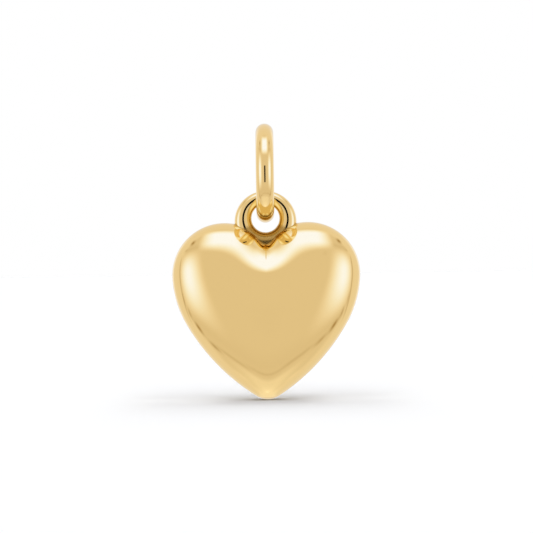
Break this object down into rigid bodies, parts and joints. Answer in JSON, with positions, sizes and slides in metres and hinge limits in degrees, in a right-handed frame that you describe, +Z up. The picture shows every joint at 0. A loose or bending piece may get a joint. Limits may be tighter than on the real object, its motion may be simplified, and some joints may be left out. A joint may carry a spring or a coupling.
{
  "type": "puffy heart pendant",
  "caption": "Polished puffed heart charm, hollow and rounded on both faces, with an eye ring soldered in its cleft and a closed round-wire jump ring threaded through it for hanging on a chain.",
  "frame": {"origin": "centre of the hole of the hanging ring, where a chain passes", "axes": "+Z up, from the heart's tip towards the hanging ring; -Y is the way the heart's front face looks, along the eye ring's hole; +X to the right as seen from the front, along the hanging ring's hole"},
  "size_m": [0.0104, 0.0054, 0.0152],
  "materials": {
    "shell_gold": "mirror polished yellow gold",
    "ring_gold": "mirror polished yellow gold"
  },
  "bodies": {
    "bail": {"bail_ring": "ring_gold"},
    "heart": {"front_shell": "shell_gold", "back_shell": "shell_gold", "eye_ring": "ring_gold"}
  },
  "joints": [
    {"name": "heart_swing", "type": "hinge", "parent": "bail", "child": "heart", "pos_m": [0, 0, -0.0025], "axis": [0, 1, 0], "range_deg": [-97, 97]}
  ]
}
